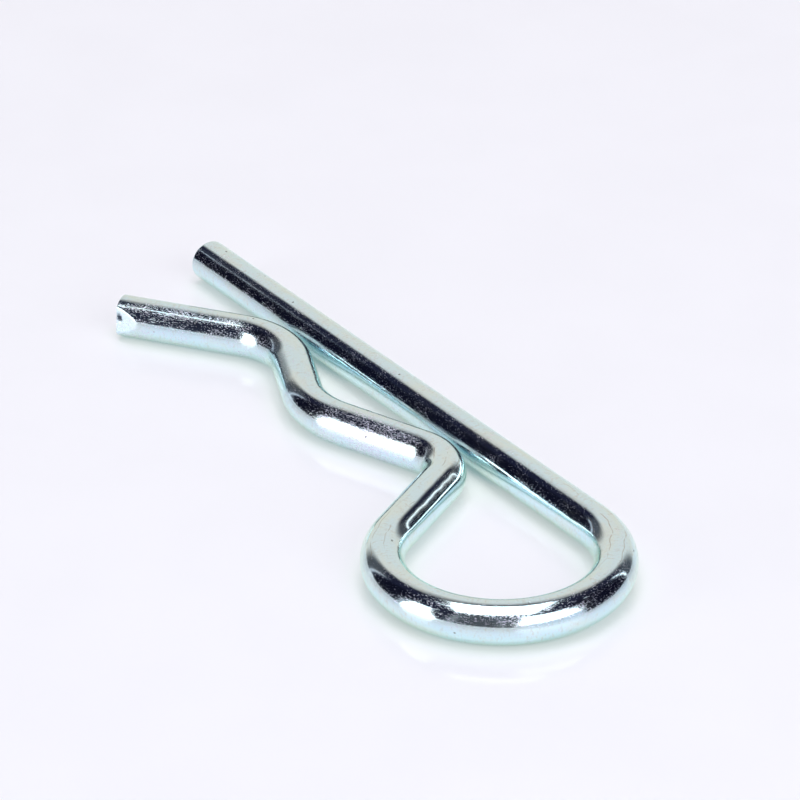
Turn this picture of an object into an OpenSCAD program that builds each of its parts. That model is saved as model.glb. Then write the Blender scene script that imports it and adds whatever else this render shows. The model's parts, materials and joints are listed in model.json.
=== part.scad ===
// Hitch R clip pin: one length of round spring wire, bent in one plane.
// From its tip it runs as a straight leg, a round eye, a heel bend, a shallow bow that hugs
// a shaft, a lip bend and a flared end that leads the clip onto the shaft.
// Millimetres. The clip lies flat: X runs along the straight leg towards the eye, Z is up.
// The origin is under the middle of the clip, level with the surface it lies on.

/* [Wire] */
// Diameter of the round wire
wire_d = 4; // [3:0.25:5]
// Width of the broken edge around the tip of the straight leg
tip_bevel = 0.25; // [0.1:0.05:0.6]

/* [Overall] */
// Length from the tip of the straight leg to the outside of the eye
clip_len = 74.5; // [62:0.5:90]

/* [Eye] */
// Clear width inside the round eye
eye_inside_d = 16.6; // [13.6:0.2:20]
// Straight run from the eye to the heel bend
eye_run = 9.4; // [7:0.2:11]

/* [Bow] */
// Clear gap between the two legs at the heel bend and at the lip bend
throat_gap = 0.55; // [0.3:0.05:1.2]
// Clear gap between the straight leg and the middle of the bow
bow_gap = 4.45; // [3:0.05:7]
// Centreline radius of the heel bend
heel_bend_r = 4.6; // [4:0.1:6]
// Straight run from the heel bend to the bow
heel_run = 9.2; // [7:0.2:12]
// Centreline radius of the bow
bow_bend_r = 9; // [6:0.25:11]
// Straight run from the bow to the lip bend
bow_run = 5.5; // [4:0.25:8]

/* [Flare] */
// Centreline radius of the lip bend
lip_bend_r = 7.5; // [5:0.25:9]
// Angle between the flared end and the straight leg
flare_angle = 35; // [25:1:45]
// Straight length of the flared end
flare_len = 12.6; // [8:0.2:16]
// Slope of the sheared flat on the flared end, from the wire's own direction
shear_angle = 13.5; // [10:0.5:25]
// Depth of the sheared flat at the cut end
shear_depth = 0.55; // [0.3:0.05:1]
// How far round the wire the sheared flat faces, above level on the outer side
shear_turn = 6; // [0:1:40]

/* [Hidden] */
section_facets = 64;
bend_facets = 180;
// The pieces are joined up at this fraction of full size, so that neighbours share their ends
join_scale = 1 / 5000;
// Room around the block that cuts the sheared flat
cut_room = 2;
steel = [0.74, 0.76, 0.77];

wire_r = wire_d / 2;
eye_r = (eye_inside_d + wire_d) / 2;
leg_len = clip_len - eye_r - wire_r;
// Distance between the centrelines of the two legs where they come closest
throat_pitch = wire_d + throat_gap;

// A straight run joins two bends that turn opposite ways
function centre_dist(run, ra, rb) = sqrt(run * run + (ra + rb) * (ra + rb));
function next_x(from, y, run, ra, rb) =
    from.x - sqrt(pow(centre_dist(run, ra, rb), 2) - pow(y - from.y, 2));
function direction(from, to) = (atan2(to.y - from.y, to.x - from.x) + 360) % 360;
function on_circle(centre, r, angle) = [centre.x + r * cos(angle), centre.y + r * sin(angle)];

// Centres of the four bends, with Y = 0 midway across the eye
leg_y = eye_r;
eye_centre = [clip_len / 2 - eye_r - wire_r, 0];
heel_y = leg_y - throat_pitch - heel_bend_r;
heel_centre = [next_x(eye_centre, heel_y, eye_run, eye_r, heel_bend_r), heel_y];
bow_y = leg_y - wire_d - bow_gap + bow_bend_r;
bow_centre = [next_x(heel_centre, bow_y, heel_run, heel_bend_r, bow_bend_r), bow_y];
lip_y = leg_y - throat_pitch - lip_bend_r;
lip_centre = [next_x(bow_centre, lip_y, bow_run, bow_bend_r, lip_bend_r), lip_y];

// Headings of the straight runs, in degrees from +X
eye_heading = direction(eye_centre, heel_centre) - atan2(eye_r + heel_bend_r, eye_run);
heel_heading = direction(heel_centre, bow_centre) + atan2(heel_bend_r + bow_bend_r, heel_run);
bow_heading = direction(bow_centre, lip_centre) - atan2(bow_bend_r + lip_bend_r, bow_run);
flare_heading = 180 + flare_angle;

// Places a piece of the wire at a point, level with the wire's axis
module at(point) {
    scale(join_scale)
        translate([point.x, point.y, wire_r])
            children();
}

// One bend of the wire, from one angle about its centre through a sweep
module bend(centre, r, from_angle, sweep) {
    at(centre)
        rotate_extrude(angle = sweep, start = from_angle, $fn = bend_facets)
            translate([r, 0])
                circle(r = wire_r, $fn = section_facets);
}

// One straight run of the wire from a point, along a heading
module straight(from, heading, length) {
    at(from)
        rotate([0, 0, heading])
            rotate([0, 90, 0])
                cylinder(r = wire_r, h = length, $fn = section_facets);
}

// The straight leg that passes through the shaft's cross hole
module leg() {
    tip_x = eye_centre.x - leg_len;
    straight([tip_x + tip_bevel, leg_y], 0, leg_len - tip_bevel);
    at([tip_x, leg_y])
        rotate([0, 90, 0])
            cylinder(r1 = wire_r - tip_bevel, r2 = wire_r, h = tip_bevel, $fn = section_facets);
}

// The round eye, pulled with a finger or tied to a lanyard
module eye() {
    bend(eye_centre, eye_r, eye_heading - 270, 360 - eye_heading);
    straight(on_circle(eye_centre, eye_r, eye_heading + 90), eye_heading, eye_run);
}

// The bowed leg that springs around the outside of the shaft
module bow() {
    bend(heel_centre, heel_bend_r, eye_heading - 90, heel_heading - eye_heading);
    straight(on_circle(heel_centre, heel_bend_r, heel_heading - 90), heel_heading, heel_run);
    bend(bow_centre, bow_bend_r, bow_heading + 90, heel_heading - bow_heading);
    straight(on_circle(bow_centre, bow_bend_r, bow_heading + 90), bow_heading, bow_run);
    bend(lip_centre, lip_bend_r, bow_heading - 90, flare_heading - bow_heading);
}

// The block that the sheared flat is cut with, in the flared end's own directions
module shear_block() {
    size = 2 * wire_d + cut_room;
    rotate([shear_turn, 0, 0])
        translate([0, wire_r - shear_depth, 0])
            rotate([0, 0, -shear_angle])
                translate([-size, 0, -size / 2])
                    cube([2 * size, size, size]);
}

// The flared end, with the flat left where the wire was sheared off
module flare() {
    from = on_circle(lip_centre, lip_bend_r, flare_heading - 90);
    difference() {
        straight(from, flare_heading, flare_len);
        at(from)
            rotate([0, 0, flare_heading])
                translate([flare_len, 0, 0])
                    shear_block();
    }
}

module clip_wire() {
    color(steel)
        scale(1 / join_scale) {
            leg();
            eye();
            bow();
            flare();
        }
}

clip_wire();
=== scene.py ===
"""Hitch R clip pin: one zinc-plated spring wire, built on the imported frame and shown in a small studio.

Lengths are in metres and angles in radians unless a name says otherwise. Textures on the wire
are laid out in millimetres along and around the wire, so that they don't stretch at the bends.
"""

import json
import logging
import math
from dataclasses import dataclass, field
from enum import Enum

import bpy
import numpy as np
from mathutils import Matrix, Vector

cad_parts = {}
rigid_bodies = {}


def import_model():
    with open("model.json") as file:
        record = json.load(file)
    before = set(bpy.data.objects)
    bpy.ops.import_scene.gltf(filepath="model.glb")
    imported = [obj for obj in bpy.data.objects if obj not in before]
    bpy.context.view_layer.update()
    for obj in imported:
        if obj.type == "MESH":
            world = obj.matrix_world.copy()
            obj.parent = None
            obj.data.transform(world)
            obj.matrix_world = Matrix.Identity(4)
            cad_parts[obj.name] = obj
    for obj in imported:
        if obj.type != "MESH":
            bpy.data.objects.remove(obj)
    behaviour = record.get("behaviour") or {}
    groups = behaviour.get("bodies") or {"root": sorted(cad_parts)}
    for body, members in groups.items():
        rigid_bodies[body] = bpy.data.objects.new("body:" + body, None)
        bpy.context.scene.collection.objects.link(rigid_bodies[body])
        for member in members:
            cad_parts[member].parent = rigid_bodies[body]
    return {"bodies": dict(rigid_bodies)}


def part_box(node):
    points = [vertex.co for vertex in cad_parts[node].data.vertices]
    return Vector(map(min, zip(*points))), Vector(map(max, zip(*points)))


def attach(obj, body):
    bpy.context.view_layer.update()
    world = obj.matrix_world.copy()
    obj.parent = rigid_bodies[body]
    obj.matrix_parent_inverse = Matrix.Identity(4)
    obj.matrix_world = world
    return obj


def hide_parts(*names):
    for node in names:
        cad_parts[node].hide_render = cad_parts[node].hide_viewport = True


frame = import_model()

LOG = logging.getLogger("hitch_r_clip")
MM = 0.001
NODE = "clip_wire"
PIECE = "r_clip_wire"
TRAITS = ("cut", "rubbed", "dulled", "nick")
Colour = tuple[float, float, float]
Spot = tuple[float, float, float]
Point = tuple[float, float]
Span = tuple[float, float]
Edges = tuple[float, float, float, float]
Array = np.ndarray
Socket = bpy.types.NodeSocket


def smooth_step(low: float, high: float, x: Array) -> Array:
    """Rises smoothly from 0 at low to 1 at high, or falls from low to high where high is the lower."""
    t = np.clip((x - low) / (high - low), 0.0, 1.0)
    return t * t * (3.0 - 2.0 * t)


def smooth_lower(a: Array, b: Array, blend: float) -> Array:
    """The lower of two heights, with the crease between them softened over the blend."""
    h = np.clip(0.5 + 0.5 * (b - a) / blend, 0.0, 1.0)
    return b + (a - b) * h - blend * h * (1.0 - h)


class Turn(Enum):
    """Which way a run of the wire turns, seen from above."""

    RIGHT = -1
    NONE = 0
    LEFT = 1


class WireEnd(Enum):
    """The two cut ends of the wire."""

    LEG_TIP = "leg tip"
    FLARE_TIP = "flare tip"


class Part(Enum):
    """The runs of the wire in order from the leg's tip, and the end of the flare."""

    LEG = "leg"
    EYE = "eye"
    EYE_RUN = "eye run"
    HEEL = "heel"
    HEEL_RUN = "heel run"
    BOW = "bow"
    BOW_RUN = "bow run"
    LIP = "lip"
    FLARE = "flare"
    END = "end"


@dataclass(frozen=True)
class Run:
    """One run of the wire's line: a straight length or a bend."""

    part: Part
    length: float
    turn: Turn = Turn.NONE
    bend_r: float = math.inf

    @property
    def curvature(self) -> float:
        """Turn per metre of wire, positive to the left."""
        return 0.0 if self.turn is Turn.NONE else self.turn.value / self.bend_r


@dataclass(frozen=True)
class Places:
    """Points of the wire's line with the directions there."""

    x: Array
    y: Array
    heading: Array


@dataclass(frozen=True)
class ClipLine:
    """The line that the middle of the wire follows, from the leg's tip to the end of the flare."""

    tip_x: float
    leg_y: float
    eye_x: float
    eye_y: float
    wire_r: float
    eye_r: float
    eye_run: float = 9.4 * MM
    throat_gap: float = 0.55 * MM
    bow_gap: float = 4.45 * MM
    heel_r: float = 4.6 * MM
    heel_run: float = 9.2 * MM
    bow_r: float = 9.0 * MM
    bow_run: float = 5.5 * MM
    lip_r: float = 7.5 * MM
    flare_deg: float = 35.0
    flare_len: float = 12.6 * MM

    @classmethod
    def from_box(cls, low: Vector, high: Vector) -> "ClipLine":
        """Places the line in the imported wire's box.

        Args:
            low: The box's lowest corner.
            high: The box's highest corner.

        Returns:
            The line, with its leg along the box's far side and its eye at the box's right end.
        """
        wire_r = (high.z - low.z) / 2.0
        outer = (high.y - low.y) / 2.0
        eye_r = outer - wire_r
        eye_x = high.x - outer
        eye_y = (high.y + low.y) / 2.0
        return cls(low.x, eye_y + eye_r, eye_x, eye_y, wire_r, eye_r)

    @staticmethod
    def _next_centre(centre: Point, y: float, run: float, reach: float) -> Point:
        """The next bend's centre, at y, past a straight run; reach is the sum of the two radii."""
        apart = math.hypot(run, reach)
        return centre[0] - math.sqrt(apart**2 - (y - centre[1]) ** 2), y

    def runs(self) -> list[Run]:
        """The wire's runs in order, from the leg's tip to the flare.

        Returns:
            Nine runs, each of which starts where the one before it ends.
        """
        pitch = 2.0 * self.wire_r
        throat = self.leg_y - pitch - self.throat_gap
        eye = (self.eye_x, self.eye_y)
        heel = self._next_centre(eye, throat - self.heel_r, self.eye_run, self.eye_r + self.heel_r)
        bow_y = self.leg_y - pitch - self.bow_gap + self.bow_r
        bow = self._next_centre(heel, bow_y, self.heel_run, self.heel_r + self.bow_r)
        lip = self._next_centre(bow, throat - self.lip_r, self.bow_run, self.bow_r + self.lip_r)

        def towards(a: Point, b: Point) -> float:
            """Direction from one centre to the next, in radians."""
            return math.atan2(b[1] - a[1], b[0] - a[0]) % math.tau

        to_heel = towards(eye, heel) - math.atan2(self.eye_r + self.heel_r, self.eye_run)
        to_bow = towards(heel, bow) + math.atan2(self.heel_r + self.bow_r, self.heel_run)
        to_lip = towards(bow, lip) - math.atan2(self.bow_r + self.lip_r, self.bow_run)
        flare = math.pi + math.radians(self.flare_deg)
        return [
            Run(Part.LEG, self.eye_x - self.tip_x),
            Run(Part.EYE, self.eye_r * (math.tau - to_heel), Turn.RIGHT, self.eye_r),
            Run(Part.EYE_RUN, self.eye_run),
            Run(Part.HEEL, self.heel_r * (to_bow - to_heel), Turn.LEFT, self.heel_r),
            Run(Part.HEEL_RUN, self.heel_run),
            Run(Part.BOW, self.bow_r * (to_bow - to_lip), Turn.RIGHT, self.bow_r),
            Run(Part.BOW_RUN, self.bow_run),
            Run(Part.LIP, self.lip_r * (flare - to_lip), Turn.LEFT, self.lip_r),
            Run(Part.FLARE, self.flare_len),
        ]

    def starts(self) -> dict[Part, float]:
        """Distance along the wire at which each run starts.

        Returns:
            The distances from the leg's tip, with the wire's whole length as the end's.
        """
        found: dict[Part, float] = {}
        along = 0.0
        for run in self.runs():
            found[run.part] = along
            along += run.length
        found[Part.END] = along
        return found

    def places(self, along: Array) -> Places:
        """Follows the line to the distances asked for.

        Args:
            along: Distances from the leg's tip.

        Returns:
            The points there, with their headings.
        """
        x = np.zeros_like(along)
        y = np.zeros_like(along)
        heading = np.zeros_like(along)
        at_x, at_y, at_heading, start = self.tip_x, self.leg_y, 0.0, 0.0
        for run in self.runs():
            # Each run overwrites what the one before it gave past its end
            here = (along >= start - 1e-12) | (start == 0.0)
            step = np.append(along[here] - start, run.length)
            k = run.curvature
            turned = at_heading + k * step
            if k == 0.0:
                new_x = at_x + step * math.cos(at_heading)
                new_y = at_y + step * math.sin(at_heading)
            else:
                new_x = at_x + (np.sin(turned) - math.sin(at_heading)) / k
                new_y = at_y - (np.cos(turned) - math.cos(at_heading)) / k
            x[here] = new_x[:-1]
            y[here] = new_y[:-1]
            heading[here] = turned[:-1]
            at_x, at_y, at_heading = float(new_x[-1]), float(new_y[-1]), float(turned[-1])
            start += run.length
        return Places(x, y, heading)


@dataclass(frozen=True)
class Ripple:
    """Soft waviness that drawing and bending leave on the wire's surface."""

    height: float
    shortest: float
    longest: float
    count: int
    seed: int

    def at(self, along: Array, around: Array, wire_r: float) -> Array:
        """Height of the ripple at points of the surface.

        Args:
            along: Distances along the wire.
            around: Angles around the wire.
            wire_r: Radius of the wire.

        Returns:
            Heights above or below the true surface.
        """
        rng = np.random.default_rng(self.seed)
        total = np.zeros(np.broadcast(along, around).shape)
        most_turns = max(1, int(math.tau * wire_r / self.shortest))
        for _ in range(self.count):
            length = math.exp(rng.uniform(math.log(self.shortest), math.log(self.longest)))
            turns = int(rng.integers(-most_turns, most_turns + 1))
            phase = rng.uniform(0.0, math.tau)
            total += np.sin(math.tau * along / length + turns * around + phase)
        return self.height * total / math.sqrt(self.count / 2.0)


@dataclass(frozen=True)
class ShearedFlat:
    """The slanted flat where the wire was sheared off, on the flared end's outer side."""

    depth: float = 0.55 * MM
    slope_deg: float = 13.5
    turn_deg: float = 6.0
    crease: float = 0.05 * MM
    nick_back: float = 0.32 * MM
    nick_up: float = 0.42 * MM
    nick_long: float = 0.3 * MM
    nick_high: float = 0.46 * MM
    nick_depth: float = 0.14 * MM
    nick_lean: float = 0.35
    nick_square: float = 2.6
    edge_on: float = 0.05

    def reach(self, back: Array, around: Array, wire_r: float) -> Array:
        """How far from the wire's axis the flat lies.

        Args:
            back: Distances back from the cut end.
            around: Angles around the wire.
            wire_r: Radius of the wire.

        Returns:
            Distances from the axis to the flat, which are huge where the flat faces away.
        """
        facing = np.cos(around - math.radians(self.turn_deg))
        rise = (wire_r - self.depth) + math.tan(math.radians(self.slope_deg)) * back
        return np.where(facing > self.edge_on, rise / np.maximum(facing, self.edge_on), 10.0 * wire_r)

    def nick(self, back: Array, around: Array, wire_r: float) -> Array:
        """Share of the nick's depth at points near the flat.

        Args:
            back: Distances back from the cut end.
            around: Angles around the wire.
            wire_r: Radius of the wire.

        Returns:
            Shares from 0 to 1, which fall away over a ragged edge.
        """
        up = wire_r * np.sin(around - math.radians(self.turn_deg))
        u = (back - self.nick_back) / self.nick_long
        v = (up - self.nick_up) / self.nick_high
        leaning = u + self.nick_lean * v
        ragged = 0.16 * np.sin(9.0 * v + 2.0) + 0.1 * np.sin(13.0 * u - 1.0)
        power = self.nick_square
        distance = (np.abs(leaning) ** power + np.abs(v) ** power) ** (1.0 / power) + ragged
        return smooth_step(1.15, 0.55, distance) * (np.cos(around) > 0.0)


@dataclass(frozen=True)
class CutFace:
    """The face across the wire where it was cropped to length."""

    burr: float
    dish: float
    rings: int = 13
    seed: int = 5
    sheared_from: float = 0.4
    hole: float = 1e-4

    def shares(self) -> Array:
        """The rings' distances from the axis as shares of the rim's, down to a hole too small to see."""
        inner = np.linspace(1.0, 0.0, self.rings + 1)[1:-1, None]
        return np.append(inner, [[self.hole]], axis=0)

    def relief(self, share: Array, around: Array) -> Array:
        """How far the face stands back from a plain flat face.

        Args:
            share: Distance from the axis as a share of the rim's, from 0 to 1.
            around: Angles around the wire.

        Returns:
            Distances inwards along the wire.
        """
        rng = np.random.default_rng(self.seed)
        side = np.cos(around - self.sheared_from)
        tilt = side * share
        rolled = smooth_step(0.72, 1.0, share) * (0.5 + 0.5 * side)
        torn = np.zeros_like(tilt)
        for turns in (3.0, 5.0, 8.0):
            phase = rng.uniform(0.0, math.tau)
            torn += np.sin(turns * share * np.sin(around) * 2.2 + phase) / turns
        dished = (0.6 + 0.4 * tilt + 0.35 * torn * (1.0 - share)) * (1.0 - share**3)
        return self.dish * dished + self.burr * rolled


class NodeBoard:
    """A material's or world's nodes, laid out from left to right as they are made."""

    def __init__(self, tree: bpy.types.NodeTree) -> None:
        """Clears a node tree to build on.

        Args:
            tree: The nodes of a material or of the world.
        """
        self.tree = tree
        self.tree.nodes.clear()
        self._made = 0

    def add(self, kind: str, label: str = "", **settings: object) -> bpy.types.Node:
        """Adds a node.

        Args:
            kind: Blender's name for the node's type.
            label: What the node is for.
            **settings: Properties of the node.

        Returns:
            The new node.
        """
        node = self.tree.nodes.new(kind)
        node.label = label
        node.location = (180 * (self._made % 12), -260 * (self._made // 12))
        self._made += 1
        for name, value in settings.items():
            setattr(node, name, value)
        return node

    def put(self, node: bpy.types.Node, socket: str | int, value: object) -> None:
        """Sets an input, or joins an output to it when given one.

        Args:
            node: The node that has the input.
            socket: The input's name or number.
            value: What it is set to, or the output that feeds it.
        """
        target = node.inputs[socket]
        if isinstance(value, Socket):
            self.tree.links.new(value, target)
        else:
            target.default_value = value

    def read(self, attribute: str, label: str) -> Socket:
        """The number that the mesh holds at each point under an attribute's name."""
        return self.add("ShaderNodeAttribute", label, attribute_name=attribute).outputs["Fac"]

    def maths(self, operation: str, a: object, b: object = 0.0, c: object = 0.0) -> Socket:
        """One sum on up to three values.

        Args:
            operation: Blender's name for the sum.
            a: First value or socket.
            b: Second value or socket.
            c: Third value or socket.

        Returns:
            The result's socket.
        """
        node = self.add("ShaderNodeMath", operation=operation)
        for index, value in enumerate((a, b, c)):
            self.put(node, index, value)
        return node.outputs[0]

    def grade(
        self, value: Socket, low: float, high: float, to_low: float = 0.0, to_high: float = 1.0
    ) -> Socket:
        """Maps a range to another smoothly and holds it at the ends.

        Args:
            value: What is graded.
            low: Where the range starts; it may lie above high.
            high: Where the range ends.
            to_low: The result at low.
            to_high: The result at high.

        Returns:
            The result's socket.
        """
        node = self.add("ShaderNodeMapRange", interpolation_type="SMOOTHSTEP", clamp=True)
        for name, number in (("From Min", low), ("From Max", high), ("To Min", to_low), ("To Max", to_high)):
            self.put(node, name, number)
        self.put(node, "Value", value)
        return node.outputs["Result"]

    def stretch(self, vector: Socket, along: float, around: float) -> Socket:
        """Scales a texture's place by one amount along the wire and another around it.

        Args:
            vector: Where on the wire, in millimetres.
            along: Scale along the wire.
            around: Scale around it.

        Returns:
            The scaled place.
        """
        node = self.add("ShaderNodeVectorMath", operation="MULTIPLY")
        self.put(node, 0, vector)
        self.put(node, 1, (along, around, around))
        return node.outputs["Vector"]

    def noise(self, vector: Socket, scale: float, detail: float, rough: float = 0.5) -> Socket:
        """Cloudy noise from about 0 to 1.

        Args:
            vector: Where on the surface.
            scale: Cells to each unit of that place.
            detail: How many finer layers are added.
            rough: Strength of the finer layers.

        Returns:
            The noise's socket.
        """
        node = self.add("ShaderNodeTexNoise")
        for name, value in (("Vector", vector), ("Scale", scale), ("Detail", detail), ("Roughness", rough)):
            self.put(node, name, value)
        return node.outputs["Fac"]

    def cells(self, vector: Socket, scale: float) -> tuple[Socket, Socket]:
        """Scattered points.

        Args:
            vector: Where on the surface.
            scale: Points to each unit of that place.

        Returns:
            The distance to the nearest point, and a random value that each point has.
        """
        node = self.add("ShaderNodeTexVoronoi")
        self.put(node, "Vector", vector)
        self.put(node, "Scale", scale)
        split = self.add("ShaderNodeSeparateColor")
        self.put(split, 0, node.outputs["Color"])
        return node.outputs["Distance"], split.outputs[0]

    def tint(self, share: Socket, first: Socket | Colour, second: Socket | Colour) -> Socket:
        """Mixes two colours.

        Args:
            share: How much of the second shows, from 0 to 1.
            first: The colour where the share is 0.
            second: The colour where the share is 1.

        Returns:
            The mixed colour's socket.
        """
        node = self.add("ShaderNodeMix", data_type="RGBA")
        self.put(node, 0, share)
        for index, value in ((6, first), (7, second)):
            self.put(node, index, value if isinstance(value, Socket) else (*value, 1.0))
        return node.outputs[2]

    def show(self, share: Socket, first: Socket, second: Socket) -> None:
        """Gives the surface a mix of two shaders.

        Args:
            share: How much of the second shows, from 0 to 1.
            first: The shader where the share is 0.
            second: The shader where the share is 1.
        """
        mix = self.add("ShaderNodeMixShader")
        for index, value in enumerate((share, first, second)):
            self.put(mix, index, value)
        self.put(self.add("ShaderNodeOutputMaterial"), "Surface", mix.outputs[0])


@dataclass(frozen=True)
class Marks:
    """Shares of each kind of mark on the plate, as sockets, with the place along and around the wire."""

    place: Socket
    dull: Socket
    cut: Socket
    nick: Socket
    clouds: Socket
    specks: Socket
    scuffs: Socket
    scratches: Socket
    pits: Socket


@dataclass(frozen=True)
class ZincPlate:
    """Bright zinc plate with a thin blue passivation over drawn spring wire.

    Relief is in millimetres. The gloss is the clean plate's roughness, and each mark adds to it.
    """

    name: str = "zinc_plate"
    clear_blue: Colour = (0.69, 0.885, 0.95)
    straw: Colour = (0.74, 0.868, 0.85)
    rim: Colour = (0.95, 1.0, 0.92)
    rub_brown: Colour = (0.38, 0.29, 0.20)
    stain: Colour = (0.62, 0.60, 0.54)
    haze_violet: Colour = (0.78, 0.76, 0.96)
    pit_dark: Colour = (0.16, 0.15, 0.15)
    nick_dark: Colour = (0.10, 0.12, 0.16)
    brown_share: float = 0.7
    stain_share: float = 0.55
    dark_share: float = 0.85
    gloss: float = 0.085
    cloud_rough: float = 0.04
    cut_rough: float = 0.16
    scratch_rough: float = 0.2
    speck_rough: float = 0.30
    nick_rough: float = 0.35
    orange_peel: float = 0.0035
    draw_lines: float = 0.0030
    grit: float = 0.0032
    scratch_depth: float = 0.003
    pit_depth: float = 0.02
    shear_marks: float = 0.006

    def build(self) -> bpy.types.Material:
        """Makes the plated finish.

        Returns:
            The material, which reads the wire's own attributes.
        """
        material = bpy.data.materials.new(self.name)
        material.use_nodes = True
        board = NodeBoard(material.node_tree)
        marks = self._marks(board)
        colour = self._colour(board, marks)
        rough = self._roughness(board, marks)
        relief = self._relief(board, marks)
        metal = board.add("ShaderNodeBsdfPrincipled", "plated metal")
        board.put(metal, "Metallic", 1.0)
        board.put(metal, "Specular Tint", (*self.rim, 1.0))
        board.put(metal, "Base Color", colour)
        board.put(metal, "Roughness", rough)
        board.put(metal, "Normal", relief)
        board.put(board.add("ShaderNodeOutputMaterial"), "Surface", metal.outputs[0])
        return material

    def _marks(self, board: NodeBoard) -> Marks:
        """Finds where each kind of mark lies.

        Args:
            board: The material's nodes.

        Returns:
            The marks' shares.
        """
        laid_out = board.add("ShaderNodeAttribute", "place on the wire", attribute_name="wire_place")
        place = laid_out.outputs["Vector"]
        worn = board.read("rubbed", "where the wire is rubbed")
        dull = board.read("dulled", "where the plate is dull")
        return Marks(
            place=place,
            dull=dull,
            cut=board.read("cut", "where the wire was cut"),
            nick=board.read("nick", "the nick in the flat"),
            clouds=board.noise(board.stretch(place, 0.35, 1.0), scale=0.5, detail=5.0, rough=0.62),
            specks=self._specks(board, place, dull),
            scuffs=self._scuffs(board, place, dull),
            scratches=self._scratches(board, place, worn),
            pits=self._pits(board, place),
        )

    def _colour(self, board: NodeBoard, marks: Marks) -> Socket:
        """Colours the plate, from clear blue to straw, and its marks.

        Args:
            board: The material's nodes.
            marks: Where the marks lie.

        Returns:
            The colour's socket.
        """
        colour = board.tint(board.grade(marks.clouds, 0.40, 0.66), self.clear_blue, self.straw)
        colour = board.tint(self._stains(board, marks.place), colour, self.stain)
        browned = board.maths("MULTIPLY", marks.scratches, self.brown_share)
        colour = board.tint(browned, colour, self.rub_brown)
        colour = board.tint(marks.specks, colour, self.haze_violet)
        darkened = board.maths("MULTIPLY", marks.pits, self.dark_share)
        colour = board.tint(darkened, colour, self.pit_dark)
        return board.tint(marks.nick, colour, self.nick_dark)

    def _roughness(self, board: NodeBoard, marks: Marks) -> Socket:
        """Roughens the plate where it is clouded, cut, scratched, specked or nicked.

        Args:
            board: The material's nodes.
            marks: Where the marks lie.

        Returns:
            The roughness's socket.
        """
        rough = board.maths("MULTIPLY_ADD", board.grade(marks.clouds, 0.3, 0.7), self.cloud_rough, self.gloss)
        rough = board.maths("MULTIPLY_ADD", marks.cut, self.cut_rough, rough)
        rough = board.maths("MULTIPLY_ADD", marks.scratches, self.scratch_rough, rough)
        specked = board.maths("MAXIMUM", marks.specks, marks.scuffs)
        rough = board.maths("MULTIPLY_ADD", specked, self.speck_rough, rough)
        return board.maths("MULTIPLY_ADD", marks.nick, self.nick_rough, rough)

    def _relief(self, board: NodeBoard, marks: Marks) -> Socket:
        """Adds the orange peel, the drawing lines and the marks' own relief.

        Args:
            board: The material's nodes.
            marks: Where the marks lie.

        Returns:
            The socket of the surface's direction.
        """
        lines = board.noise(board.stretch(marks.place, 0.06, 1.0), scale=6.0, detail=3.0, rough=0.6)
        peel = board.noise(marks.place, scale=3.2, detail=4.0, rough=0.55)
        uneven = board.grade(marks.dull, 0.0, 0.5, 0.3 * self.orange_peel, self.orange_peel)
        height = board.maths("MULTIPLY_ADD", lines, self.draw_lines, board.maths("MULTIPLY", peel, uneven))
        height = board.maths("MULTIPLY", height, board.grade(marks.dull, -0.6, 0.0, 0.2, 1.0))
        height = board.maths("MULTIPLY_ADD", marks.specks, self.grit, height)
        height = board.maths("MULTIPLY_ADD", marks.scuffs, self.grit, height)
        height = board.maths("MULTIPLY_ADD", marks.scratches, -self.scratch_depth, height)
        height = board.maths("MULTIPLY_ADD", marks.pits, -self.pit_depth, height)
        torn = board.noise(board.stretch(marks.place, 2.0, 6.0), scale=1.0, detail=2.0)
        torn = board.maths("MULTIPLY", torn, marks.cut)
        height = board.maths("MULTIPLY_ADD", torn, self.shear_marks, height)
        bump = board.add("ShaderNodeBump", "fine relief in the plate")
        board.put(bump, "Distance", MM)
        board.put(bump, "Height", height)
        return bump.outputs["Normal"]

    def _stains(self, board: NodeBoard, place: Socket) -> Socket:
        """Share of the faint smudges left in the passivation."""
        small = board.noise(board.stretch(place, 1.4, 0.7), scale=2.6, detail=4.0, rough=0.65)
        return board.grade(small, 0.50, 0.78, 0.0, self.stain_share)

    @staticmethod
    def _specks(board: NodeBoard, place: Socket, dull: Socket) -> Socket:
        """Fine dull specks in the plate, which run together into a haze where the wire was worked.

        Args:
            board: The material's nodes.
            place: Where on the wire, in millimetres.
            dull: Share of dulling there.

        Returns:
            Share of speck, from 0 to 1.
        """
        fine = board.noise(board.stretch(place, 0.45, 1.0), scale=11.0, detail=2.0, rough=0.7)
        patchy = board.noise(board.stretch(place, 0.5, 1.0), scale=1.0, detail=2.0)
        likely = board.maths("MULTIPLY_ADD", dull, 0.15, fine)
        likely = board.maths("MULTIPLY_ADD", patchy, 0.30, likely)
        return board.grade(likely, 0.73, 0.95)

    @staticmethod
    def _pits(board: NodeBoard, place: Socket) -> Socket:
        """A few small dark pits, of which most points of the scatter have none.

        Args:
            board: The material's nodes.
            place: Where on the wire, in millimetres.

        Returns:
            Share of pit, from 0 to 1.
        """
        near, pick = board.cells(board.stretch(place, 0.7, 1.0), scale=0.9)
        round_pit = board.grade(near, 0.10, 0.06)
        return board.maths("MULTIPLY", round_pit, board.grade(pick, 0.55, 0.57))

    @staticmethod
    def _scuffs(board: NodeBoard, place: Socket, dull: Socket) -> Socket:
        """Broken lengthwise scuffs where the plate is dull.

        Args:
            board: The material's nodes.
            place: Where on the wire, in millimetres.
            dull: Share of dulling there.

        Returns:
            Share of scuff, from 0 to 1.
        """
        long = board.grade(board.noise(board.stretch(place, 0.05, 1.0), scale=6.5, detail=2.0), 0.60, 0.68)
        broken = board.grade(board.noise(board.stretch(place, 0.6, 1.4), scale=2.6, detail=3.0), 0.46, 0.58)
        hard = board.grade(dull, 0.48, 0.52)
        return board.maths("MULTIPLY", board.maths("MULTIPLY", long, broken), hard)

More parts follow.
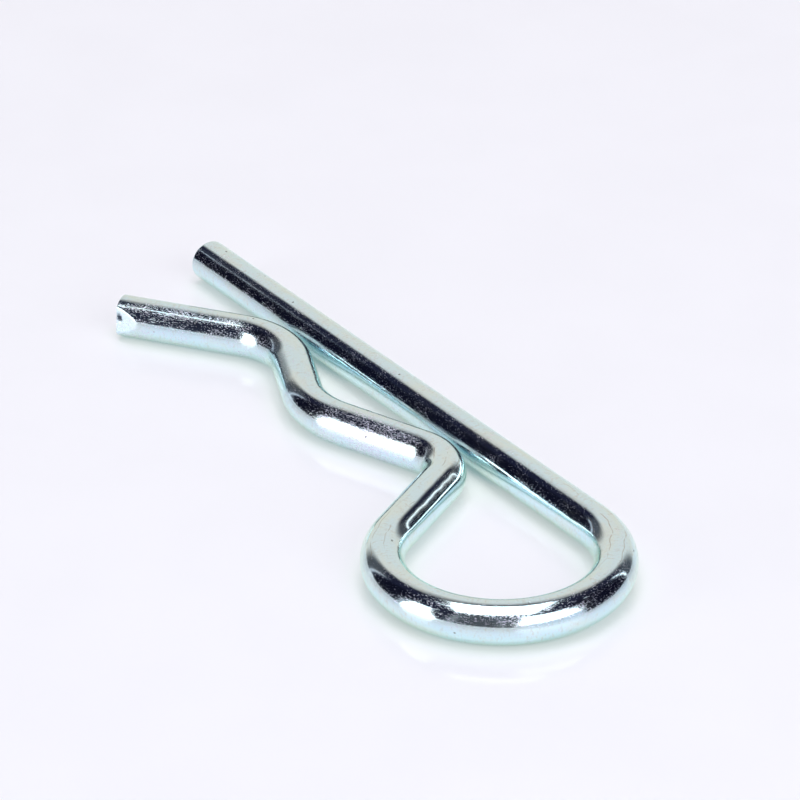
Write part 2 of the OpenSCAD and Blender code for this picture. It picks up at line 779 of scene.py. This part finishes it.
    @staticmethod
    def _scratches(board: NodeBoard, place: Socket, worn: Socket) -> Socket:
        """Hairline scratches, mostly where the wire is rubbed.

        Args:
            board: The material's nodes.
            place: Where on the wire, in millimetres.
            worn: Share of rubbing there.

        Returns:
            Share of scratch, from 0 to 1.
        """
        bent = board.noise(place, scale=0.3, detail=1.0)
        split = board.add("ShaderNodeSeparateXYZ")
        board.put(split, 0, place)
        across = board.maths("ADD", split.outputs["Y"], board.maths("MULTIPLY", split.outputs["X"], 0.06))
        across = board.maths("MULTIPLY_ADD", bent, 1.6, across)
        saw = board.maths("PINGPONG", across, 0.55)
        line = board.grade(saw, 0.06, 0.01)
        broken = board.grade(board.noise(board.stretch(place, 0.35, 2.4), scale=1.2, detail=2.0), 0.46, 0.54)
        return board.maths("MULTIPLY", board.maths("MULTIPLY", line, broken), worn)


@dataclass(frozen=True)
class Wear:
    """A patch of rubbing along the wire: what it lies beside, how far past that, and how wide it is."""

    beside: Part
    past: float
    spread: float
    share: float = 1.0

    def at(self, along: Array, starts: dict[Part, float]) -> Array:
        """Share of rubbing at distances along the wire, which is most in the patch's middle."""
        return self.share * np.exp(-(((along - starts[self.beside] - self.past) / self.spread) ** 2))


@dataclass
class ClipWire:
    """The whole clip: one wire with its bends, its broken tip, its sheared flat and its two cut faces.

    The skin is laid out in rows on a square sheet, for baking. Each run's dulling is its middle's, and
    below 0 the plate is smoother than usual.
    """

    line: ClipLine
    finish: ZincPlate
    tip_break: float = 0.25 * MM
    flare_break: float = 0.07 * MM
    sectors: int = 120
    tip_rings: int = 7
    flare_rings: int = 5
    full_round: float = 0.9
    straight_pitch: float = 0.30 * MM
    bend_pitch: float = 0.21 * MM
    end_pitch: float = 0.065 * MM
    end_length: float = 3.6 * MM
    rows: int = 4
    sheet: float = 56.0 * MM
    row_gap: float = 1.1 * MM
    flat: ShearedFlat = field(default_factory=ShearedFlat)
    waves: Ripple = Ripple(height=0.0013 * MM, shortest=1.6 * MM, longest=7.0 * MM, count=26, seed=11)
    leg_face: CutFace = CutFace(burr=0.12 * MM, dish=0.09 * MM)
    flare_face: CutFace = CutFace(burr=0.16 * MM, dish=0.14 * MM, seed=9)
    face_traits: tuple[float, ...] = (1.0, 0.2, 0.5, 0.0)
    least_rubbed: float = 0.06
    rubbed_patches: tuple[Wear, ...] = (
        Wear(Part.HEEL, 3.0 * MM, 4.0 * MM),
        Wear(Part.EYE, 3.0 * MM, 7.0 * MM),
        Wear(Part.EYE_RUN, -2.0 * MM, 6.0 * MM, 0.7),
    )
    dull_runs: tuple[tuple[Part, float], ...] = (
        (Part.LEG, 0.32),
        (Part.EYE, 0.05),
        (Part.EYE_RUN, -0.8),
        (Part.HEEL, 0.25),
        (Part.HEEL_RUN, 1.25),
        (Part.BOW, 0.30),
        (Part.BOW_RUN, 0.25),
        (Part.LIP, 0.44),
        (Part.FLARE, 0.54),
    )
    dull_eye_sides: float = 0.45
    clear_top: float = 0.6

    def stations(self) -> Array:
        """Distances along the wire at which the surface has a ring of points.

        Returns:
            Rising distances, closer together on the bends and at the two ends.
        """
        starts = self.line.starts()
        end = starts[Part.END]
        found = list(self.tip_break * (1.0 - np.cos(np.linspace(0.0, math.pi / 2.0, self.tip_rings))))
        bends = [(starts[Part.EYE], starts[Part.EYE_RUN]), (starts[Part.HEEL], starts[Part.HEEL_RUN])]
        bends += [(starts[Part.BOW], starts[Part.BOW_RUN]), (starts[Part.LIP], starts[Part.FLARE])]
        while found[-1] < end:
            at = found[-1]
            pitch = self.straight_pitch
            if any(a - pitch <= at <= b for a, b in bends):
                pitch = self.bend_pitch
            if at > end - self.end_length or at < 3.0 * self.tip_break:
                pitch = self.end_pitch
            found.append(at + pitch)
        while found[-1] > end - 2.0 * self.flare_break:
            found.pop()
        last = end - self.flare_break * (1.0 - np.sin(np.linspace(0.0, math.pi / 2.0, self.flare_rings)))
        return np.array([*found, end - 1.5 * self.flare_break, *last])

    def angles(self) -> Array:
        """Angles around the wire, from its underside, with 0 on the left of the way the wire runs."""
        return np.arange(self.sectors) * math.tau / self.sectors - math.pi / 2.0

    def reach(self, along: Array, around: Array) -> Array:
        """Distance from the wire's axis to its surface.

        Args:
            along: Distances along the wire, as a column.
            around: Angles around the wire, as a row.

        Returns:
            Distances from the axis, one row for each ring.
        """
        end = self.line.starts()[Part.END]
        back = end - along
        tip = np.clip(1.0 - along / self.tip_break, 0.0, 1.0)
        lip = np.clip(1.0 - back / self.flare_break, 0.0, 1.0)
        r = self.line.wire_r - self.tip_break * (1.0 - np.sqrt(1.0 - tip**2 * self.full_round))
        r = r - self.flare_break * (1.0 - np.sqrt(1.0 - lip**2 * self.full_round))
        r = r + self.waves.at(along, around, self.line.wire_r)
        r = smooth_lower(r, self.flat.reach(back, around, self.line.wire_r), self.flat.crease)
        return r - self.flat.nick_depth * self.flat.nick(back, around, self.line.wire_r)

    def on_flat(self, along: Array, around: Array) -> Array:
        """Share of sheared surface at points of the wire.

        Args:
            along: Distances along the wire.
            around: Angles around the wire.

        Returns:
            Shares from 0 to 1.
        """
        back = self.line.starts()[Part.END] - along
        r = self.flat.reach(back, around, self.line.wire_r)
        return smooth_step(self.line.wire_r, self.line.wire_r - self.flat.crease, r)

    def rubbed(self, along: Array, around: Array) -> Array:
        """Share of rubbing at points of the wire: over the heel and on the eye's two shoulders.

        Args:
            along: Distances along the wire.
            around: Angles around the wire.

        Returns:
            Shares from 0 to 1.
        """
        starts = self.line.starts()
        top = smooth_step(0.0, 1.0, np.sin(around))
        patches = sum(patch.at(along, starts) for patch in self.rubbed_patches)
        return np.clip(patches * top, self.least_rubbed, 1.0)

    def dulled(self, along: Array, around: Array) -> Array:
        """Share of fine dulling at points of the wire, which is most on the heel run and the flare.

        Args:
            along: Distances along the wire.
            around: Angles around the wire.

        Returns:
            Shares from -1, where the plate is smoothest, to 1.2.
        """
        starts = self.line.starts()
        lengths = {run.part: run.length for run in self.line.runs()}
        middles = [starts[part] + 0.5 * lengths[part] for part, _ in self.dull_runs]
        by_run = np.interp(along, middles, [share for _, share in self.dull_runs])
        sides = smooth_step(0.0, 0.6, np.cos(around)) * smooth_step(-0.1, 0.5, np.sin(around))
        eye = smooth_step(starts[Part.EYE] + 8.0 * MM, starts[Part.EYE] + 16.0 * MM, along)
        eye = eye * smooth_step(starts[Part.EYE_RUN] - 2.0 * MM, starts[Part.EYE_RUN] - 8.0 * MM, along)
        top = 1.0 - self.clear_top * smooth_step(0.8, 1.0, np.sin(around))
        return np.clip((by_run + self.dull_eye_sides * eye * sides) * top, -1.0, 1.2)

    def build(self) -> bpy.types.Object:
        """Builds the wire's surface and dresses it.

        Returns:
            The finished piece.
        """
        along = self.stations()[:, None]
        around = self.angles()[None, :]
        reach = self.reach(along, around)
        wide = np.broadcast_to(along, reach.shape)
        turned = np.broadcast_to(around, reach.shape)
        rings = [self._ring(wide, turned, reach)]
        cut = self.on_flat(along, around)
        nick = self._nick(along, around)
        traits = [np.stack([cut, self.rubbed(wide, turned), self.dulled(wide, turned), nick])]
        faces = [self._skin(len(along))]
        sheet = [self._skin_sheet(along[:, 0])]
        count = reach.size
        for end, face in ((WireEnd.LEG_TIP, self.leg_face), (WireEnd.FLARE_TIP, self.flare_face)):
            row = 0 if end is WireEnd.LEG_TIP else len(along) - 1
            inward = 1.0 if end is WireEnd.LEG_TIP else -1.0
            share = face.shares()
            step = face.relief(share, around) - face.relief(np.ones((1, 1)), around)
            inner_along = along[row, 0] + inward * step
            inner_reach = share * reach[row]
            inner_around = np.broadcast_to(around, inner_reach.shape)
            rings.append(self._ring(inner_along, inner_around, inner_reach))
            traits.append(np.stack([np.full_like(inner_reach, trait) for trait in self.face_traits]))
            faces.append(self._cap(count, row * self.sectors, len(share), end))
            sheet.append(self._cap_sheet(share, end))
            count += inner_reach.size
        piece = self._mesh(rings, faces, sheet, traits)
        piece.data.materials.append(self.finish.build())
        return piece

    def _nick(self, along: Array, around: Array) -> Array:
        """Share of the dark nick at points of the wire."""
        return self.flat.nick(self.line.starts()[Part.END] - along, around, self.line.wire_r)

    def _ring(self, along: Array, around: Array, reach: Array) -> tuple[Array, Array]:
        """Places rings of points round the line.

        Args:
            along: Distances along the wire.
            around: Angles around it.
            reach: Distances from its axis.

        Returns:
            The points, and the place of each along and around the wire in millimetres.
        """
        at = self.line.places(along.ravel())
        side = (reach * np.cos(around)).ravel()
        up = (reach * np.sin(around)).ravel()
        x = at.x - side * np.sin(at.heading)
        y = at.y + side * np.cos(at.heading)
        points = np.stack([x, y, self.line.wire_r + up], axis=1)
        place = np.stack([along.ravel(), side, up], axis=1) / MM
        return points, place

    def _skin(self, rings: int) -> Array:
        """Corners of the faces between the rings.

        Args:
            rings: How many rings the skin has.

        Returns:
            Four corners a face, turned to face outwards.
        """
        i = np.arange(rings - 1)[:, None] * self.sectors
        j = np.arange(self.sectors)[None, :]
        k = (j + 1) % self.sectors
        return np.stack([i + j, i + k, i + self.sectors + k, i + self.sectors + j], axis=-1).reshape(-1, 4)

    def _cap(self, first: int, rim: int, rings: int, end: WireEnd) -> Array:
        """Corners of the faces that close an end.

        Args:
            first: Number of the cap's first point.
            rim: Number of the rim's first point.
            rings: How many rings the cap has inside the rim.
            end: Which end is closed.

        Returns:
            Four corners a face, turned to face outwards.
        """
        starts = np.array([rim, *(first + self.sectors * np.arange(rings))])
        j = np.arange(self.sectors)[None, :]
        k = (j + 1) % self.sectors
        a, b = starts[:-1, None], starts[1:, None]
        corners = np.stack([a + j, b + j, b + k, a + k], axis=-1).reshape(-1, 4)
        return corners if end is WireEnd.FLARE_TIP else corners[:, ::-1]

    def _skin_sheet(self, along: Array) -> Array:
        """Lays the skin out flat in rows, split along the underside.

        Args:
            along: The rings' distances along the wire.

        Returns:
            Two sheet coordinates for each corner of each face.
        """
        row_len = (along[-1] + self.straight_pitch) / self.rows
        row = np.minimum((along[:-1] // row_len), self.rows - 1)[:, None]
        height = math.tau * self.line.wire_r
        u0 = along[:-1, None] - row * row_len
        u1 = along[1:, None] - row * row_len
        v0 = np.arange(self.sectors)[None, :] * height / self.sectors
        v1 = v0 + height / self.sectors
        base = self.row_gap + row * (height + self.row_gap)
        corners = []
        for u, v in ((u0, v0), (u0, v1), (u1, v1), (u1, v0)):
            flat_u = np.broadcast_to(u + self.row_gap, (len(along) - 1, self.sectors))
            corners.append(np.stack([flat_u, base + v], axis=-1))
        return np.stack(corners, axis=2).reshape(-1, 2) / self.sheet

    def _cap_sheet(self, share: Array, end: WireEnd) -> Array:
        """Lays a cut face out beside the skin's rows.

        Args:
            share: The rings' distances from the axis as shares of the rim's.
            end: Which end it is.

        Returns:
            Two sheet coordinates for each corner of each face.
        """
        r = self.line.wire_r
        centre = np.array([self.sheet - 2.0 * r, 2.0 * r + (0.0 if end is WireEnd.LEG_TIP else 3.0 * r)])
        angle = np.append(self.angles(), self.angles()[0] + math.tau)
        ring = np.append([1.0], share[:, 0])[:, None] * r
        u = centre[0] + ring * np.cos(angle)
        v = centre[1] + ring * np.sin(angle)
        spot = np.stack([u, v], axis=-1)
        a, b, c, d = spot[:-1, :-1], spot[1:, :-1], spot[1:, 1:], spot[:-1, 1:]
        order = (a, b, c, d) if end is WireEnd.FLARE_TIP else (d, c, b, a)
        return np.stack(order, axis=2).reshape(-1, 2) / self.sheet

    @staticmethod
    def _mesh(
        rings: list[tuple[Array, Array]], faces: list[Array], sheet: list[Array], traits: list[Array]
    ) -> bpy.types.Object:
        """Makes the piece from its parts.

        Args:
            rings: Points and places for the skin and the two caps.
            faces: Faces for each of them.
            sheet: Flat layout for each of them.
            traits: Shares of cut, rubbed, dulled and nicked surface for each of them.

        Returns:
            The piece, smooth and laid out, with no finish yet.
        """
        points = np.concatenate([r[0] for r in rings])
        places = np.concatenate([r[1] for r in rings])
        mesh = bpy.data.meshes.new(PIECE)
        mesh.from_pydata(points.tolist(), [], np.concatenate(faces).tolist())
        mesh.polygons.foreach_set("use_smooth", np.ones(len(mesh.polygons), dtype=bool))
        layout = mesh.uv_layers.new(name="OFBake")
        layout.data.foreach_set("uv", np.concatenate(sheet).astype(np.float32).ravel())
        spot = mesh.attributes.new("wire_place", "FLOAT_VECTOR", "POINT")
        spot.data.foreach_set("vector", places.astype(np.float32).ravel())
        values = np.concatenate([t.reshape(len(t), -1) for t in traits], axis=1)
        for name, value in zip(TRAITS, values):
            mesh.attributes.new(name, "FLOAT", "POINT").data.foreach_set("value", value.astype(np.float32))
        mesh.validate()
        mesh.update()
        piece = bpy.data.objects.new(PIECE, mesh)
        bpy.context.scene.collection.objects.link(piece)
        return piece


@dataclass(frozen=True)
class Bearing:
    """Directions in the studio, taken from the middle of the clip and the camera's side."""

    centre: Vector
    camera_deg: float = 54.4

    def towards(self, round_deg: float, up_deg: float) -> Vector:
        """Unit direction from the middle of the clip.

        Args:
            round_deg: Degrees round from the camera, to the right.
            up_deg: Degrees above the floor.

        Returns:
            The direction.
        """
        a = math.radians(self.camera_deg + round_deg)
        e = math.radians(up_deg)
        return Vector((math.sin(a) * math.cos(e), -math.cos(a) * math.cos(e), math.sin(e)))


def fading_glow(name: str, glow: Colour) -> bpy.types.Material:
    """A plain glow that fades out where the mesh says so.

    Args:
        name: The material's name.
        glow: Colour and strength of the light.

    Returns:
        The material.
    """
    material = bpy.data.materials.new(name)
    material.use_nodes = True
    # Dim panels are seen in the wire but aren't aimed at as lamps, which keeps the picture clean
    if max(glow) < 1.0:
        material.cycles.emission_sampling = "NONE"
    board = NodeBoard(material.node_tree)
    fade = board.read("fade", "soft edge")
    light = board.add("ShaderNodeEmission", "panel")
    board.put(light, "Color", (*(c / max(glow) for c in glow), 1.0))
    board.put(light, "Strength", max(glow))
    clear = board.add("ShaderNodeBsdfTransparent")
    board.show(fade, clear.outputs[0], light.outputs[0])
    return material


def hang_panel(name: str, points: Array, fade: Array, glow: Colour) -> bpy.types.Object:
    """Makes a glowing panel from a grid of points, out of the camera's sight.

    Args:
        name: The panel's name.
        points: Rows of points.
        fade: How solid the panel is at each point, from 0 to 1.
        glow: Colour and strength of its light.

    Returns:
        The panel.
    """
    high, wide = fade.shape
    i, j = np.meshgrid(np.arange(high - 1) * wide, np.arange(wide - 1), indexing="ij")
    faces = np.stack([i + j, i + j + 1, i + j + 1 + wide, i + j + wide], axis=-1).reshape(-1, 4)
    mesh = bpy.data.meshes.new(name)
    mesh.from_pydata(points.reshape(-1, 3).tolist(), [], faces.tolist())
    mesh.attributes.new("fade", "FLOAT", "POINT").data.foreach_set("value", fade.astype(np.float32).ravel())
    mesh.materials.append(fading_glow(name, glow))
    panel = bpy.data.objects.new(name, mesh)
    panel.visible_camera = False
    panel.visible_shadow = False
    bpy.context.scene.collection.objects.link(panel)
    return panel


def even(degrees: float) -> Span:
    """A side that lies at the same angle at both its ends."""
    return degrees, degrees


@dataclass(frozen=True)
class Card:
    """A softbox, strip light, backdrop or dark drape that stands round the clip.

    Each side is given in degrees at its two ends: left and right from foot to head, and foot and
    head from left to right. Its four edges fade over so many degrees, in the same order.
    """

    name: str
    left: Span
    right: Span
    foot: Span
    head: Span
    glow: Colour
    soft: Edges
    distance: float
    grid_deg: float = 1.5

    def build(self, bearing: Bearing) -> bpy.types.Object:
        """Stands the card up.

        Args:
            bearing: The studio's directions.

        Returns:
            The card.
        """
        wide = max(8, int((max(self.right) - min(self.left)) / self.grid_deg))
        high = max(8, int((max(self.head) - min(self.foot)) / self.grid_deg))
        u, v = np.meshgrid(np.linspace(0.0, 1.0, wide), np.linspace(0.0, 1.0, high))
        left = self.left[0] + (self.left[1] - self.left[0]) * v
        right = self.right[0] + (self.right[1] - self.right[0]) * v
        foot = self.foot[0] + (self.foot[1] - self.foot[0]) * u
        head = self.head[0] + (self.head[1] - self.head[0]) * u
        turn = left + (right - left) * u
        rise = foot + (head - foot) * v
        fade = np.ones_like(turn)
        for inside, soft in zip((turn - left, right - turn, rise - foot, head - rise), self.soft):
            if soft > 0.0:
                fade = fade * smooth_step(0.0, soft, inside)
        ways = [bearing.towards(a, e) for a, e in zip(turn.ravel(), rise.ravel())]
        points = np.array([bearing.centre + self.distance * way for way in ways])
        return hang_panel(self.name, points, fade, self.glow)


@dataclass(frozen=True)
class Diffuser:
    """The level diffuser over the clip, wider towards the camera.

    Its corners are set as shares of its height, ahead of the clip's middle and aside from it.
    """

    up: float = 1.40
    ahead: Span = (-0.49, 0.52)
    back_aside: Span = (-0.205, 0.30)
    front_aside: Span = (-0.54, 0.44)
    soft: Edges = (0.05, 0.08, 0.10, 0.20)
    glow: Colour = (4.12, 4.12, 4.14)
    steps: int = 40

    def build(self, bearing: Bearing) -> bpy.types.Object:
        """Hangs the diffuser.

        Args:
            bearing: The studio's directions.

        Returns:
            The diffuser.
        """
        u, v = np.meshgrid(np.linspace(0.0, 1.0, self.steps), np.linspace(0.0, 1.0, self.steps))
        left = self.back_aside[0] + (self.front_aside[0] - self.back_aside[0]) * v
        right = self.back_aside[1] + (self.front_aside[1] - self.back_aside[1]) * v
        aside = left + (right - left) * u
        ahead = self.ahead[0] + (self.ahead[1] - self.ahead[0]) * v
        fade = np.ones_like(aside)
        edges = (aside - left, right - aside, ahead - self.ahead[0], self.ahead[1] - ahead)
        for inside, soft in zip(edges, self.soft):
            fade = fade * smooth_step(0.0, soft, inside)
        forward = np.array(bearing.towards(0.0, 0.0))
        across = np.array(bearing.towards(90.0, 0.0))
        points = ahead[..., None] * forward + aside[..., None] * across + np.array([0.0, 0.0, 1.0])
        return hang_panel("diffuser", np.array(bearing.centre) + self.up * points, fade, self.glow)


@dataclass(frozen=True)
class FillLamp:
    """The wide lamp behind the diffuser, which evens out the light on the table."""

    up: float = 1.50
    size: float = 1.30
    glow: float = 0.25

    def build(self, bearing: Bearing) -> bpy.types.Object:
        """Hangs the lamp.

        Args:
            bearing: The studio's directions.

        Returns:
            The lamp.
        """
        lamp = bpy.data.lights.new("fill", "AREA")
        lamp.shape = "SQUARE"
        lamp.size = self.size
        lamp.energy = math.pi * self.glow * self.size**2
        overhead = bpy.data.objects.new("fill", lamp)
        overhead.location = bearing.centre + Vector((0.0, 0.0, self.up))
        overhead.visible_camera = False
        overhead.visible_glossy = False
        bpy.context.scene.collection.objects.link(overhead)
        return overhead


@dataclass(frozen=True)
class Floor:
    """The pale table that the clip lies on.

    Close to the wire its own colour carries painted light, a green tint for the light that the plate throws,
    and in the crevices painted shade in a deep teal.
    To the eye and in the wire, plain_share of it is as plain as the background, and all of it past
    far_fade, which leaves the rest to show the shadow.
    """

    colour: Colour = (0.92, 0.92, 0.99)
    cloud_tone: float = 0.985
    clouds_per_metre: float = 60.0
    rough: float = 0.12
    sheen: float = 0.4
    # Painted light and shade: a green tint beside the wire for the light the plate throws, a deep teal for
    # shade in the crevices
    painted_bounce_green: Colour = (0.88, 0.94, 0.92)
    painted_crevice_shade: Colour = (0.33, 0.56, 0.55)
    painted_tint_reach: float = 3.8 * MM
    rings: tuple[float, ...] = (0.05, 0.15, 0.3, 0.6, 1.2, 4.5)
    drop: float = 0.004 * MM
    near_fade: float = 0.30
    far_fade: float = 0.55
    plain_share: float = 0.4
    segments: int = 96

    def build(self, centre: Vector) -> bpy.types.Object:
        """Lays the table.

        Args:
            centre: The middle of the clip.

        Returns:
            The floor.
        """
        turns = np.arange(self.segments) * math.tau / self.segments
        points = [(centre.x, centre.y, -self.drop)]
        for r in self.rings:
            points += [(centre.x + r * math.cos(t), centre.y + r * math.sin(t), -self.drop) for t in turns]
        sides = [(j, (j + 1) % self.segments) for j in range(self.segments)]
        faces = [(0, 1 + j, 1 + k) for j, k in sides]
        for ring in range(len(self.rings) - 1):
            a = 1 + ring * self.segments
            b = a + self.segments
            faces += [(a + j, b + j, b + k, a + k) for j, k in sides]
        mesh = bpy.data.meshes.new("floor")
        mesh.from_pydata(points, [], faces)
        floor = bpy.data.objects.new("floor", mesh)
        bpy.context.scene.collection.objects.link(floor)
        mesh.materials.append(self._surface(centre))
        return floor

    def _surface(self, centre: Vector) -> bpy.types.Material:
        """Smooth pale board, which far away shows as plain as the background.

        Args:
            centre: The middle of the clip.

        Returns:
            The material.
        """
        material = bpy.data.materials.new("pale_board")
        material.use_nodes = True
        board = NodeBoard(material.node_tree)
        spot = board.add("ShaderNodeNewGeometry").outputs["Position"]
        away = board.add("ShaderNodeVectorMath", operation="DISTANCE")
        board.put(away, 0, spot)
        board.put(away, 1, (centre.x, centre.y, 0.0))
        far = board.grade(away.outputs["Value"], self.near_fade, self.far_fade)
        ray = board.add("ShaderNodeLightPath")
        seen = board.maths("MAXIMUM", ray.outputs["Is Camera Ray"], ray.outputs["Is Glossy Ray"])
        seen = board.maths("MAXIMUM", seen, ray.outputs["Is Transmission Ray"])
        share = board.maths("MULTIPLY", seen, board.maths("MAXIMUM", far, self.plain_share))
        cloud = board.grade(board.noise(spot, scale=self.clouds_per_metre, detail=2.0), 0.3, 0.7)
        tone = board.tint(cloud, self.colour, tuple(self.cloud_tone * c for c in self.colour))
        # Painted light and shade from occlusion: green close to the wire for the light the plate throws, deep
        # teal in the crevices for their shade
        near = board.add("ShaderNodeAmbientOcclusion", "how open the board is to the sky", samples=8)
        board.put(near, "Distance", self.painted_tint_reach)
        beside = board.grade(near.outputs["AO"], 0.35, 0.95, 1.0, 0.0)
        tone = board.tint(beside, tone, self.painted_bounce_green)
        crevice = board.grade(near.outputs["AO"], 0.02, 0.16, 1.0, 0.0)
        tone = board.tint(crevice, tone, self.painted_crevice_shade)
        lit = board.add("ShaderNodeBsdfPrincipled", "lit board")
        board.put(lit, "Base Color", tone)
        board.put(lit, "Roughness", self.rough)
        board.put(lit, "Specular IOR Level", self.sheen)
        plain = board.add("ShaderNodeEmission", "far board")
        board.put(plain, "Color", tone)
        board.show(share, lit.outputs[0], plain.outputs[0])
        return material


@dataclass(frozen=True)
class Studio:
    """A small product studio: pale table, pale sky, softboxes, an overhead diffuser and dark drapes."""

    bearing: Bearing
    floor: Floor = Floor()
    sky: Colour = (0.92, 0.92, 0.99)
    diffuser: Diffuser = Diffuser()
    fill: FillLamp = FillLamp()
    # Each card: name, left, right, foot, head, glow, soft edges, distance
    cards: tuple[Card, ...] = (
        Card(
            "ceiling", even(-180.0), even(180.0), even(1.0), even(90.0), (0.012, 0.012, 0.032),
            (0, 0, 6.0, 0), 2.4,
        ),
        Card(
            "drape_left", even(-121.0), even(-80.0), even(-1.0), even(60.0), (0.004, 0.004, 0.013),
            (4.0, 4.0, 5.0, 14.0), 2.2,
        ),
        Card(
            "drape_right", even(66.0), even(121.0), even(-1.0), even(60.0), (0.004, 0.004, 0.013),
            (4.0, 3.0, 2.0, 14.0), 2.2,
        ),
        Card(
            "grey_left", even(-150.0), even(-125.0), even(-1.0), even(42.0), (0.085, 0.085, 0.10),
            (4.0, 3.0, 3.0, 9.0), 2.1,
        ),
        Card(
            "grey_right", even(122.0), even(150.0), even(-1.0), even(36.0), (0.075, 0.075, 0.09),
            (3.0, 4.0, 3.0, 9.0), 2.1,
        ),
        Card(
            "grey_front", even(-46.0), even(14.0), even(2.0), even(64.0), (0.085, 0.088, 0.105),
            (4.0, 3.0, 5.0, 10.0), 0.42,
        ),
        Card(
            "backdrop", (130.0, 147.0), (226.0, 212.0), even(-1.0), even(66.0), (0.839, 0.776, 0.747),
            (14.0, 14.0, 0, 28.0), 2.0,
        ),
        Card(
            "softbox_left", (-83.5, -80.0), (-49.5, -64.0), even(-0.5), (36.0, 43.0), (3.4, 3.4, 3.45),
            (1.5, 2.5, 1.0, 3.0), 0.62,
        ),
        Card(
            "diffuser_tab", even(-101.0), even(-87.0), even(65.5), even(74.0), (2.4, 2.4, 2.45),
            (4.0, 4.0, 1.5, 0), 1.49,
        ),
        Card(
            "softbox_right", (10.0, 21.5), even(68.5), (10.0, 15.0), (55.0, 46.0), (2.6, 2.6, 2.65),
            (1.5, 2.0, 2.0, 3.0), 0.62,
        ),
        Card(
            "edge_left", even(-90.0), even(-82.0), even(-1.0), even(39.0), (0.22, 0.22, 0.25),
            (5.0, 0, 0, 5.0), 0.66,
        ),
        Card(
            "strip_left", (-127.6, -126.2), (-123.4, -122.0), even(1.0), even(36.5), (0.75, 0.75, 0.85),
            (1.3, 1.3, 2.0, 5.0), 0.60,
        ),
        Card(
            "strip_right", (118.2, 125.8), (121.0, 128.6), even(6.0), even(38.5), (2.4, 2.4, 2.5),
            (1.0, 1.0, 3.0, 3.0), 0.60,
        ),
        Card(
            "strip_front", (-42.5, -42.0), (-34.5, -34.0), even(2.0), even(50.0), (0.34, 0.35, 0.38),
            (2.5, 2.5, 4.0, 8.0), 0.40,
        ),
        Card(
            "strip_middle", even(-2.5), even(4.0), even(6.0), even(56.0), (0.26, 0.26, 0.29),
            (2.0, 2.0, 4.0, 8.0), 0.40,
        ),
        Card(
            "shelf_right", even(12.0), even(70.0), even(-1.0), even(16.0), (0.70, 0.73, 0.84),
            (2.0, 3.0, 0, 3.0), 0.66,
        ),
    )

    def build(self) -> None:
        """Lays the floor, hangs the lamps and cards and sets the sky."""
        self.floor.build(self.bearing.centre)
        self.diffuser.build(self.bearing)
        self.fill.build(self.bearing)
        for card in self.cards:
            card.build(self.bearing)
        world = bpy.data.worlds.new("studio")
        bpy.context.scene.world = world
        world.use_nodes = True
        board = NodeBoard(world.node_tree)
        sky = board.add("ShaderNodeBackground")
        board.put(sky, "Color", (*self.sky, 1.0))
        board.put(sky, "Strength", 1.0)
        board.put(board.add("ShaderNodeOutputWorld"), "Surface", sky.outputs[0])


@dataclass(frozen=True)
class ViewCamera:
    """The camera, which looks down on the clip from in front of the eye's side."""

    target: Spot = (-3.25 * MM, 9.38 * MM, 2.0 * MM)
    way: Spot = (0.7068, -0.5051, 0.4953)
    distance: float = 422.1 * MM
    focal_mm: float = 202.6
    sensor_mm: float = 36.0
    clip_start: float = 0.01
    clip_end: float = 20.0

    def build(self) -> bpy.types.Object:
        """Sets the camera up and makes it the scene's own.

        Returns:
            The camera.
        """
        lens = bpy.data.cameras.new("camera")
        lens.lens = self.focal_mm
        lens.sensor_width = self.sensor_mm
        lens.clip_start = self.clip_start
        lens.clip_end = self.clip_end
        camera = bpy.data.objects.new("camera", lens)
        way = Vector(self.way).normalized()
        camera.location = Vector(self.target) + self.distance * way
        camera.rotation_euler = (-way).to_track_quat("-Z", "Y").to_euler()
        bpy.context.scene.collection.objects.link(camera)
        bpy.context.scene.camera = camera
        return camera


def corners(box: tuple[Vector, Vector]) -> list[list[float]]:
    """A box's two corners as plain numbers."""
    return [[float(v) for v in corner] for corner in box]


def main() -> None:
    """Builds the clip, the studio and the camera."""
    logging.basicConfig(level=logging.INFO, format="%(name)s: %(message)s")
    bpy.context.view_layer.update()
    low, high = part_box(NODE)
    clip = ClipWire(ClipLine.from_box(low, high), ZincPlate())
    piece = clip.build()
    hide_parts(NODE)
    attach(piece, next(iter(frame["bodies"])))
    LOG.info("%s: %d points, %d faces", piece.name, len(piece.data.vertices), len(piece.data.polygons))
    centre = Vector((clip.line.eye_x, clip.line.eye_y, 0.0))
    Studio(Bearing(centre)).build()
    LOG.info("studio: floor, lamps and cards")
    camera = ViewCamera().build()
    LOG.info("%s: %.1f mm lens", camera.name, camera.data.lens)
    bpy.context.scene.view_settings.view_transform = "Standard"


if __name__ == "__main__":
    main()
